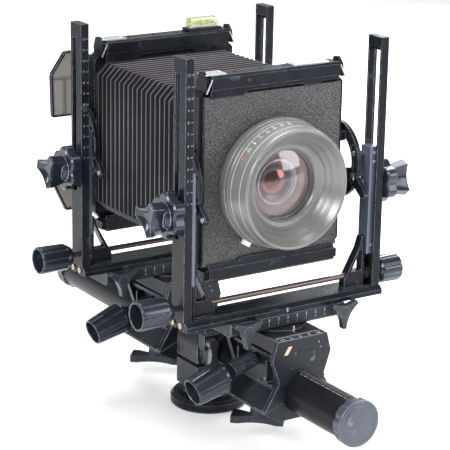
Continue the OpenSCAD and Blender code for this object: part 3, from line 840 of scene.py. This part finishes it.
def loft(outline: Sequence[tuple[float, float]], stations: Sequence[tuple[float, float]]) -> tuple[Points, list]:
    """A solid through copies of an outline round +Z, one for each (height, scale) station, with flat ends."""
    flat = np.array(outline, float)
    n = len(flat)
    points = np.vstack([np.column_stack([flat * k, np.full(n, h)]) for h, k in stations])
    faces = [list(f) for f in quads(len(stations), n, False, True)]
    last = n * (len(stations) - 1)
    return points, [*faces, list(range(n))[::-1], list(range(last, last + n))]


def screw(at: Sequence[float], axis: Sequence[float], r: float, h: float) -> tuple[Points, Points]:
    """A low round screw head with a round socket."""
    profile = rounded([(0, 0), (r, 0), (r, h), (r * 0.45, h), (r * 0.45, h * 0.35), (0, h * 0.35)], 0.25)
    points, faces = lathe(profile, 20)
    return aim(points, axis, at), faces


def disc_cup(at: Sequence[float], axis: Sequence[float], r: float, h: float) -> tuple[Points, Points]:
    """A thin dark ring and floor laid on the surface: painted shade that reads as a drilled hole."""
    points, faces = lathe([(0, 0), (r, 0), (r, h), (r * 0.8, h), (r * 0.8, h * 0.3), (0, h * 0.3)], 24)
    return aim(points, axis, at), faces


# ---- bellows ----


@dataclass
class Bellows:
    """Square pleated bellows with cut corners, in ten lengths, one for each joint between two bodies.

    Attributes:
        half_w: Half the width over the crests.
        half_h: Half the height over the crests.
        corner: Cut of the corners.
        depth: Depth of a fold.
        folds: Number of folds.
        wall: Thickness of the cloth.
        rows: Grid rows in a fold.
        lengths: Length at each joint as a share of half the bellows, from the frame to the middle.
    """

    half_w: float = 75
    half_h: float = 70.5
    corner: float = 10
    depth: float = 7
    folds: int = 21
    wall: float = 0.7
    rows: int = 8
    lengths: tuple[float, ...] = (24, 13, 10, 24, 10.95)

    def __post_init__(self) -> None:
        """Finds where the bellows starts and ends, and its centre height."""
        lo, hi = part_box("bellows")
        self.start, self.end = lo.y / MM, hi.y / MM
        self.mid = (lo.z + hi.z) / 2 / MM

    def crest(self, y: Points) -> Points:
        """How far a fold stands out at y, from 0 in a valley to 1 on a crest: a triangle wave with a sharp crest."""
        turns = (y - self.start) / (self.end - self.start) * self.folds
        return 1 - np.abs(2 * (turns % 1) - 1)

    def section(self, inset: Points) -> Points:
        """The eight-sided outline with its faces moved in by inset, one outline for each value given."""
        per_side = 6
        w, h, c = self.half_w - inset, self.half_h - inset, self.corner - 0.35 * inset
        corners = np.stack([
            np.stack([w, h - c], -1), np.stack([w - c, h], -1), np.stack([c - w, h], -1), np.stack([-w, h - c], -1),
            np.stack([-w, c - h], -1), np.stack([c - w, -h], -1), np.stack([w - c, -h], -1), np.stack([w, c - h], -1),
        ], 1)
        t = np.arange(per_side)[None, None, :, None] / per_side
        nxt = np.roll(corners, -1, 1)
        return (corners[:, :, None] * (1 - t) + nxt[:, :, None] * t).reshape(len(inset), -1, 2)

    def length(self, y0: float, y1: float) -> tuple[Points, Points, Points]:
        """A closed wall between two places: an outer grid out and an inner grid back.

        Returns:
            The points, the faces and the fold value of each point.
        """
        step = (self.end - self.start) / self.folds / self.rows
        inner = np.arange(math.ceil((y0 - self.start) / step + 1e-6), math.ceil((y1 - self.start) / step - 1e-6))
        y = np.concatenate([[y0], self.start + inner * step, [y1]])
        fold = self.crest(y)
        outer = self.section(self.depth * (1 - fold))
        shell = self.section(self.depth * (1 - fold) + self.wall)
        rings = np.concatenate([outer, shell[::-1]])
        along = np.concatenate([y, y[::-1]])
        points = np.stack([rings[..., 0], np.repeat(along[:, None], rings.shape[1], 1), rings[..., 1] + self.mid], -1)
        folds = np.repeat(np.concatenate([fold, fold[::-1]])[:, None], rings.shape[1], 1)
        return points.reshape(-1, 3), quads(len(rings), rings.shape[1], True, True), folds.ravel()

    def build(self) -> None:
        """Makes the ten lengths and the end rings."""
        links = ["frame", "carriers", "u_frame", "head", "carriage"]
        chain = [f"front_{b}" for b in links] + ["rail"] + [f"rear_{b}" for b in reversed(links)]
        half = (self.end - self.start) / 2
        scaled = [v * half / sum(self.lengths) for v in self.lengths]
        places = self.start + np.concatenate([[0], np.cumsum([*scaled, *scaled[::-1]])])
        for i, (a, b) in enumerate(zip(chain, chain[1:])):
            points, faces, folds = self.length(places[i], places[i + 1])
            obj = piece(f"bellows_{i}", (points, faces), "bellows", None, smooth=22,
                        replaces=("bellows",) if i == 0 else ())
            mark_folds(obj, points, folds)
            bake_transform(obj)
        end_rings(self)


def end_rings(bellows: Bellows) -> None:
    """Eight-sided end frames of the bellows: four loops of the same outline, two wide and two narrow."""
    for side, y, out in (("front", bellows.start, 1), ("rear", bellows.end, -1)):
        wide, narrow = bellows.section(np.array([-0.6]))[0], bellows.section(np.array([4.5]))[0]
        loops = [(wide, y), (wide, y + 2.6 * out), (narrow, y + 2.6 * out), (narrow, y)]
        points = np.vstack([np.stack([o[:, 0], np.full(len(o), v), o[:, 1] + bellows.mid], -1) for o, v in loops])
        piece(f"bellows_ring_{side}", (points, quads(4, len(wide), True, True)), "black_metal", f"{side}_frame",
              bevel=0.4)


def mark_folds(obj: bpy.types.Object, points: Points, folds: Points) -> None:
    """Writes the fold value to the nearest point of the finished mesh."""
    count = len(obj.data.vertices)
    co = np.zeros(count * 3)
    obj.data.vertices.foreach_get("co", co)
    co = co.reshape(-1, 3) / MM
    nearest = np.array([np.argmin(((points - p) ** 2).sum(1)) for p in co])
    attribute = obj.data.attributes.new("fold", "FLOAT", "POINT")
    attribute.data.foreach_set("value", folds[nearest].astype(np.float32))


# ---- lens ----


@dataclass
class Lens:
    """The lens in front of its board, turned round the lens axis, with +h forward from the board.

    Attributes:
        length: Length in front of the board.
        rim: Radius of the front rim.
        axis_z: Height of the lens axis in the standard's frame.
        segments: Steps round the axis.
    """

    length: float = 38
    rim: float = 53.5
    axis_z: float = 107
    segments: int = 160

    def __post_init__(self) -> None:
        """Finds the lens axis from the board."""
        lo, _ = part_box("lens_board")
        self.at = (0.0, lo.y, place_of("front")[2] + self.axis_z * MM)

    def turned(self, name: str, profile: Sequence[tuple[float, float]], slot: str, body: str = "front_frame",
               **more: object) -> bpy.types.Object:
        """A turned piece on the lens axis."""
        points, faces = lathe(profile, self.segments)
        return piece(name, (aim(points, FORWARD), faces), slot, body, self.at, **more)

    def build(self) -> None:
        """Makes the barrel, the rings, the glass and the iris."""
        n, r = self.length, self.rim
        barrel = rounded([(30, -4), (30, 0), (56, 0), (56, 3.5), (50, 3.5), (50, 11.5), (57, 11.5), (57, 14.6),
                          (56.3, 15), (56.3, 15.8), (56.8, 16.2), (56.2, 19), (r + 0.5, n - 4), (r, n - 1), (r - 1, n),
                          (r - 2.5, n), (r - 4, n - 2), (47.6, n - 4.4), (47.2, n - 5.2), (43.4, n - 9),
                          (43, n - 10), (39.6, n - 13.2), (39.2, n - 14.4), (36, n - 17), (33.5, n - 17),
                          (31.5, n - 19), (31.5, n - 23), (29, n - 23), (26, 0), (26, -4)], 0.5, 2)
        self.turned("lens_barrel_turned", barrel, "lens_metal", replaces=("lens_barrel",))
        grip = rounded([(50.1, 3.8), (57.3, 3.8), (58, 4.5), (58, 10.5), (57.3, 11.2), (50.1, 11.2)], 0.4, 2)
        self.turned("iris_ring_turned", grip, "lens_metal", "iris_ring", replaces=("iris_ring",))
        self.iris_handle()
        self.dome("front_glass_turned", 31.3, 80, n - 14, 2.5, "lens_glass", ("front_glass",))
        # cone and ring painted with the rose and pale reflections seen inside the lens
        self.turned("rose_reflection_cone", rounded([(28.4, 12.4), (28.4, 11.6), (20, 4), (20, 5.2)], 0.2, 2), "lens_rose_reflection")
        self.turned("pale_reflection_ring", rounded([(20, 4), (20.6, 6.6), (19.4, 7.4), (17, 3.4), (17, 2)], 0.4, 3), "lens_pale_reflection")
        self.turned("inner_cone", rounded([(17, 2), (17, 3), (11.5, 0.6), (11.5, -0.4)], 0.2, 2), "lens_inside")
        self.dome("second_glass", 20.5, 24, 11.5, 1.2, "coated_glass", ())
        self.iris()
        self.dome("rear_glass", 21, 48, -15, 2, "lens_glass", ())
        self.scale()

    def dome(self, name: str, r: float, ball: float, top: float, thick: float, slot: str,
             replaces: Sequence[str]) -> None:
        """A curved glass shell: h = top - ball + sqrt(ball^2 - r^2) on its front, and thick lower on its back."""
        radii = np.linspace(0, r, 14)
        front = top - ball + np.sqrt(ball * ball - radii**2)
        rim = [(float(x), float(h)) for x, h in zip(radii, front)]
        back = [(float(x), float(h) - thick) for x, h in zip(radii[::-1], front[::-1])]
        self.turned(name, [*rim, *back], slot, replaces=replaces)

    def iris_handle(self) -> None:
        """The small handle that turns the iris, low on the left."""
        handle = prism(rounded([(57.2, 5), (62, 5), (62, 10), (57.2, 10)], 0.8), -3.5, 3.5, Along.Y)
        turned = aim(spin(handle[0], -122), FORWARD)
        piece("iris_handle", (turned, handle[1]), "white_print", "iris_ring", self.at, bevel=0.4)

    def iris(self) -> None:
        """Ten overlapping blades, each a curved leaf, that leave a round-cornered hole."""
        leaf = rounded([(7.5, -8), (22, -9), (24.5, 2), (21, 9), (9, 6)], 3)
        leaves = []
        for i in range(10):
            points, faces = prism(leaf, -1 + i * 0.06, -0.8 + i * 0.06, Along.Z)
            leaves.append((aim(spin(points, 36 * i), FORWARD), faces))
        piece("iris_blades", joined(leaves), "lens_inside", "front_frame", self.at)

    def scale(self) -> None:
        """Stop marks with numerals round the barrel behind the rim, and a red index dot."""
        stops = ("5.6", "8", "11", "16", "22", "32", "45")
        parts = []
        for i, word in enumerate(stops):
            around = math.radians(138 - 8 * i)
            digits, faces = numerals([(word, 0, 23.4)], 2.4)
            tick, tick_faces = box((-0.2, -0.06, 19.4), (0.2, 0.06, 21.4))
            for p, f in ((digits, faces), (tick, tick_faces)):
                x, out, h = p.T
                r = self.surface(h) + 0.03 - out
                turn = around - x / 55
                parts.append((np.stack([r * np.cos(turn), -h, r * np.sin(turn)], -1), f))
        piece("stop_scale", joined(parts), "white_print", "front_frame", self.at)
        for i, h in enumerate((18.6, 29.4)):
            r = float(self.surface(np.array(h)))
            self.turned(f"barrel_line_{i}", [(r - 0.2, h), (r + 0.08, h), (r + 0.05, h + 0.3), (r - 0.2, h + 0.3)],
                        "white_print")
        dot = prism(circle(1.1, 16), 0, 0.2, Along.Z)
        a = math.radians(147)
        r = float(self.surface(np.array(22.0)))
        place = (r * math.cos(a), -22.0, r * math.sin(a))
        piece("red_dot", (aim(dot[0], (math.cos(a), 0, math.sin(a)), place), dot[1]), "red", "front_frame", self.at)

    def surface(self, h: Points) -> Points:
        """Radius of the barrel's outside between the rear ring and the rim, falling evenly forward."""
        return 56.2 + (self.rim + 0.5 - 56.2) * (h - 19) / (self.length - 23)


# ---- knobs and levers ----


@dataclass
class Knobs(OnStandard):
    """The knobs and levers of one standard.

    Attributes:
        half_w: Half the width over the posts.
        star_r: Radius of the clamp knobs.
        reach: How far a clamp knob's handle stands out from the middle.
        rise_r: Radius of the rise knobs.
        focus_r: Radius of the focus knob at its widest.
        focus_tilt: Downward tilt of the focus shaft in degrees.
    """

    half_w: float = 105
    star_r: float = 20.5
    reach: float = 136
    rise_r: float = 13
    focus_r: float = 15
    focus_tilt: float = 17.6

    def build(self) -> None:
        """Makes all the knobs and levers."""
        self.clamp_knob(-1)
        self.clamp_knob(1)
        self.rise_knobs()
        self.focus_knob()
        for name, x in (("shift_lock", 58), ("swing_lock", -46 if self.side == "front" else -68)):
            self.wing_lever(name, x)
        self.jaw_lever()

    def clamp_knob(self, side: int) -> None:
        """A thick disc with six round lobes, a waist, and a three-winged handle that flares outwards."""
        n, out, r = self.half_w, self.reach, self.star_r
        a = np.arange(144) * 2 * math.pi / 144
        reach = r - 3.8 * ((1 - np.cos(6 * a)) / 2) ** 1.5
        lobes = list(zip(reach * np.cos(a), reach * np.sin(a)))
        disc = loft(lobes, ((n + 2, 0.95), (n + 3.2, 1.0), (n + 11.5, 1.0), (n + 13, 0.93)))
        waist = lathe(rounded([(0, n + 12), (12.5, n + 12), (10.5, n + 17.5), (0, n + 17.5)], 0.8, 2), 48)
        flare = ((n + 14.5, 0.82), (n + 18, 0.88), (n + 24, 0.96), (out - 1.2, 1.03))
        dish = ((out, 0.98), (out - 0.4, 0.88), (out - 3.4, 0.5))
        handle = loft(winged(3, 16.4, 8.6, 4.2, 80), (*flare, *dish))
        washer = lathe(rounded([(0, n + 0.5), (9, n + 0.5), (9, n + 2.4), (0, n + 2.4)], 0.3, 2), 40)
        bolt = lathe(rounded([(0, 88), (2.5, 88), (2.5, n + 2), (0, n + 2)], 0.4, 1), 24)
        aimed = [(aim(p, (side, 0, 0), (0, *CLAMP_AXIS)), f) for p, f in (disc, waist, handle, washer, bolt)]
        word = "left" if side < 0 else "right"
        self.add(f"clamp_grip_{word}", joined(aimed), "knob", f"clamp_knob_{word}", bevel=0.7, smooth=28,
                 replaces=(f"{self.side}_clamp_knob_{word}",))

    def fluted(self, r: Points, a: Points, deepest: float, where: Points) -> Points:
        """Nine narrow round flutes: the radius drops by deepest at each and is full between them."""
        near = np.maximum(0, np.cos(9 * a)) ** 6
        return np.where(where, r - deepest * near, r)

    def rise_knobs(self) -> None:
        """Hollow fluted cups at both ends of the rise shaft."""
        n, r = self.half_w, self.rise_r
        parts = []
        for side, start, length, neck in ((-1, n + 8, 33, 6), (1, n + 2, 24, 3)):
            z0, z1 = start, start + length
            profile = rounded([(0, z0), (r - 4, z0), (r - 0.6, z0 + neck), (r, z1 - 1), (r - 0.8, z1), (r - 2.4, z1),
                               (r - 3, z0 + length * 0.45), (0, z0 + length * 0.45)], 0.8, 3)
            points, faces = lathe(
                profile, 180, lambda rr, h, a, z=z0 + neck: self.fluted(rr, a, 1.2, (rr > r - 1.4) & (h >= z)))
            parts.append((aim(points, (side, 0, 0), (0, 10, 10.5)), faces))
        self.add("rise_grips", joined(parts), "knob", "rise_drive", replaces=(f"{self.side}_rise_knobs",))

    def focus_knob(self) -> None:
        """A fluted knob that narrows towards its open, hollow end, on the tilted shaft."""
        r = self.focus_r
        profile = rounded([(0, 52), (7, 52), (9, 54.5), (r - 0.6, 61), (r, 64), (r - 2.4, 93.6), (r - 3, 94.4),
                           (r - 4.2, 94.4), (r - 5, 74), (0, 74)], 0.9, 3)
        points, faces = lathe(profile, 180, lambda rr, h, a: self.fluted(rr, a, 1.2, (rr > 11.7) & (h > 58)))
        a = math.radians(self.focus_tilt)
        axis = (-math.cos(a), 0, -math.sin(a))
        rail_axis, rail_radius, gear_radius, above = -74, 18.75, 12, 2.7
        gear_z = rail_axis + rail_radius + gear_radius + above
        self.add("focus_grip", (aim(points, axis, (0, 8, gear_z)), faces), "knob", "focus_drive",
                 replaces=(f"{self.side}_focus_knob",))

    def wing_lever(self, name: str, x: float) -> None:
        """A three-pointed lever with hollow sides and cut tips, on a round hub."""
        plate = prism(winged(3, 15.6, 6.2, 1.8, 150), -13.5, -7, Along.Y)
        hub = lathe(rounded([(0, 6.3), (6, 6.3), (5, 13.8), (0, 13.8)], 0.8, 3), 40)
        stud = lathe(rounded([(0, -5), (2.5, -5), (2.5, 8), (0, 8)], 0.3, 1), 20)
        parts = [plate, *((aim(p, FORWARD), f) for p, f in (hub, stud))]
        points, faces = joined(parts)
        self.add(f"{name}_wing", (points + np.array([x, 0, -15]), faces), "lever", name, bevel=0.9,
                 replaces=(f"{self.side}_{name}",))

    def jaw_lever(self) -> None:
        """A flat lever with flared ends: a long bar whose sides are hollowed by two arcs."""
        xs = np.linspace(-24, 24, 21)
        side = 8.5 - np.maximum(0, np.sqrt(np.maximum(0, 35.0**2 - xs**2)) - 30.5)
        outline = [*zip(xs, -side), *zip(xs[::-1], side[::-1])]
        a = math.radians(-42)
        spun = [(x * math.cos(a) - y * math.sin(a), x * math.sin(a) + y * math.cos(a)) for x, y in outline]
        bar = prism(spun, -16.4, -9.4, Along.Z)
        hub = lathe(rounded([(0, -10), (7, -10), (7, -0.3), (3, -0.3), (3, 6), (0, 6)], 0.5, 2), 40)
        points, faces = joined([bar, hub])
        self.add("jaw_wing", (points + np.array([-16, 14, -97.6]), faces), "lever", "jaw_lever", bevel=1.0,
                 replaces=(f"{self.side}_jaw_lever",))


# ---- rail, back and level ----


@dataclass
class Rail:
    """The rail's scalloped caps and its faded print.

    Attributes:
        height: Height of the tube's axis.
    """

    height: float = 60

    def build(self) -> None:
        """Makes the caps and a row of pale dashes along the rail."""
        lo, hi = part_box("rail_tube")
        scallops = 9

        def cut(r: Points, h: Points, a: Points) -> Points:
            """Takes a hollow off the rim at each of nine scallops."""
            near = np.maximum(0, np.cos(scallops * a)) ** 2.2
            return np.where((r > 20.2) & (h < 7), r - 1.5 * near, r)

        profile = rounded([(0, -12), (15.75, -12), (15.75, 0), (21, 0), (21, 7), (21, 9), (19.6, 9.6), (17.2, 10),
                           (16.8, 9.5), (16.2, 9.5), (15.8, 10), (0, 10)], 0.4, 2)
        points, faces = lathe(profile, 180, cut)
        both = [(aim(points, (0, -1, 0), (0, lo.y / MM, self.height)), faces),
                (aim(points, (0, 1, 0), (0, hi.y / MM, self.height)), faces)]
        dashes = [box((-3.3, y, 78.42), (-2.8, y + length, 78.54)) for y, length in
                  zip(np.arange(lo.y / MM + 3, lo.y / MM + 73, 3.2), np.tile([1.2, 2.2, 0.9, 1.8, 2.4], 5))]
        piece("rail_print", joined(dashes), "white_print", "rail")
        piece("rail_caps_turned", joined(both), "cap_metal", "rail", replaces=("rail_caps",))


@dataclass
class Level:
    """The spirit level on the rear clamp bar: a clear block with a vial and a bubble.

    Attributes:
        centre: Middle of the vial in the rear standard's frame.
        length: Length of the vial.
        radius: Radius of the vial.
    """

    centre: tuple[float, float, float] = (42, 29, 214)
    length: float = 24
    radius: float = 2.4

    def build(self) -> None:
        """Makes the block, its base, the vial and the bubble."""
        at = place_of("rear")
        x, y, z = self.centre
        half = self.length / 2
        block = prism(rounded([(y - 5, z - 4.4), (y + 5, z - 4.4), (y + 5, z + 4.4), (y - 5, z + 4.4)], 1.2), x - 15,
                      x + 15, Along.X)
        piece("level_block", block, "level", "rear_frame", at, bevel=0.4)
        base = box((x - 18, y - 7, 206.6), (x + 18, y + 7, 209.4))
        piece("level_base", base, "black_metal", "rear_frame", at, bevel=0.5, replaces=("spirit_level",))
        vial = rounded([(0, -half), (self.radius, -half), (self.radius, half), (0, half)], 1.4, 4)
        points, faces = lathe(vial, 40)
        piece("level_vial", (aim(points, (1, 0, 0), (x, y, z)), faces), "spirit", "rear_frame", at)
        rings = [lathe([(self.radius, h - 0.35), (self.radius + 0.15, h - 0.35), (self.radius + 0.15, h + 0.35),
                        (self.radius, h + 0.35)], 40) for h in (-3.4, 3.4)]
        piece("level_lines", joined([(aim(p, (1, 0, 0), (x, y, z)), f) for p, f in rings]), "rail_metal",
              "rear_frame", at)


@dataclass
class Panels:
    """Dark rims and a pale band on the smoked panels beside the back.

    Attributes:
        thick: How far a rim stands proud of the panel's faces.
    """

    thick: float = 0.6

    def build(self) -> None:
        """Makes a frame of thin strips along the outer edges of both panels, and the band."""
        at = place_of("rear")
        y0, y1 = 43 - self.thick, 46 + self.thick
        edges = [(-84, 136, -111, 136), (-111, 136, -112, 175), (-112, 175, -98, 195), (-98, 195, -84, 195),
                 (-84, 45, -98, 45), (-98, 45, -110, 70)]
        strips = []
        for x0, z0, x1, z1 in edges:
            along = np.array([x1 - x0, z1 - z0], float)
            along /= np.linalg.norm(along)
            across = np.array([-along[1], along[0]])
            ends = [np.array([x0, z0]) + across, np.array([x1, z1]) + across, np.array([x1, z1]) - across,
                    np.array([x0, z0]) - across]
            strips.append(prism([tuple(p) for p in ends], y0, y1, Along.Y))
        piece("panel_rims", joined(strips), "black_metal", "rear_frame", at)
        bands = [box((-111.6, y0 + 0.2, 170), (-80, y1 - 0.2, 172.4)),
                 box((-99.5, y0 + 0.2, 137), (-97.5, y1 - 0.2, 170))]
        piece("panel_band", joined(bands), "smoked", "rear_frame", at)


# ---- view ----


@dataclass
class Studio:
    """Camera, soft lamps and pale floor.

    Attributes:
        eye: Camera's place in metres.
        ahead: Direction it looks in.
        up: Its upward direction.
        lens: Focal length on a 36 mm sensor.
    """

    eye: tuple[float, float, float] = (-0.8809, -1.3538, 0.6574)
    ahead: tuple[float, float, float] = (0.52910192, 0.79881079, -0.28627344)
    up: tuple[float, float, float] = (0.14321747, 0.2484596, 0.95799613)
    lens: float = 145.25

    def build(self) -> None:
        """Makes everything but the object."""
        self.camera()
        self.lamp("key", (-1.5, -0.8, 1.3), 0.9, 42)
        self.lamp("top", (0.2, 0.3, 2.0), 1.4, 60)
        self.lamp("fill", (1.3, -1.6, 0.8), 1.0, 20)
        self.lamp("rim", (1.5, 1.0, 1.2), 0.9, 36)
        self.floor()
        self.sky()

    def camera(self) -> None:
        """Makes the camera from its three directions."""
        data = bpy.data.cameras.new("camera")
        data.lens, data.sensor_width = self.lens, 36.0
        cam = bpy.data.objects.new("camera", data)
        bpy.context.scene.collection.objects.link(cam)
        ahead, up = Vector(self.ahead).normalized(), Vector(self.up).normalized()
        right = ahead.cross(up).normalized()
        up = right.cross(ahead)
        turn = Matrix((right, up, -ahead)).transposed()
        cam.matrix_world = Matrix.Translation(self.eye) @ turn.to_4x4()
        bpy.context.scene.camera = cam
        bpy.context.scene.view_settings.view_transform = "Standard"

    def lamp(self, name: str, at: tuple[float, float, float], size: float, watts: float) -> None:
        """A square soft lamp aimed at the middle of the object."""
        data = bpy.data.lights.new(name, "AREA")
        data.energy, data.size = watts, size
        obj = bpy.data.objects.new(name, data)
        obj.location = at
        obj.rotation_euler = (Vector((0, 0, 0.2)) - Vector(at)).to_track_quat("-Z", "Y").to_euler()
        bpy.context.scene.collection.objects.link(obj)

    def floor(self) -> None:
        """A wide pale floor."""
        data = bpy.data.meshes.new("floor")
        data.from_pydata([(-9, -9, 0), (9, -9, 0), (9, 9, 0), (-9, 9, 0)], [], [(0, 1, 2, 3)])
        obj = bpy.data.objects.new("floor", data)
        bpy.context.scene.collection.objects.link(obj)
        mat = bpy.data.materials.new("floor")
        mat.use_nodes = True
        shader = next(node for node in mat.node_tree.nodes if node.type == "BSDF_PRINCIPLED")
        shader.inputs["Base Color"].default_value = (0.9, 0.9, 0.9, 1)
        shader.inputs["Roughness"].default_value = 0.9
        data.materials.append(mat)

    def sky(self) -> None:
        """Even white light from all round."""
        world = bpy.data.worlds.new("studio")
        world.use_nodes = True
        back = next(node for node in world.node_tree.nodes if node.type == "BACKGROUND")
        back.inputs["Color"].default_value = (1, 1, 1, 1)
        back.inputs["Strength"].default_value = 0.42
        bpy.context.scene.world = world


def main() -> None:
    """Builds the view, dresses the frame and adds every piece."""
    logging.basicConfig(level=logging.INFO, format="%(name)s: %(message)s")
    Studio().build()
    dress_nodes()
    Bellows().build()
    Lens().build()
    for side in SIDES:
        Standard(side).build()
        Knobs(side).build()
    Rail().build()
    Level().build()
    Panels().build()


if __name__ == "__main__":
    main()
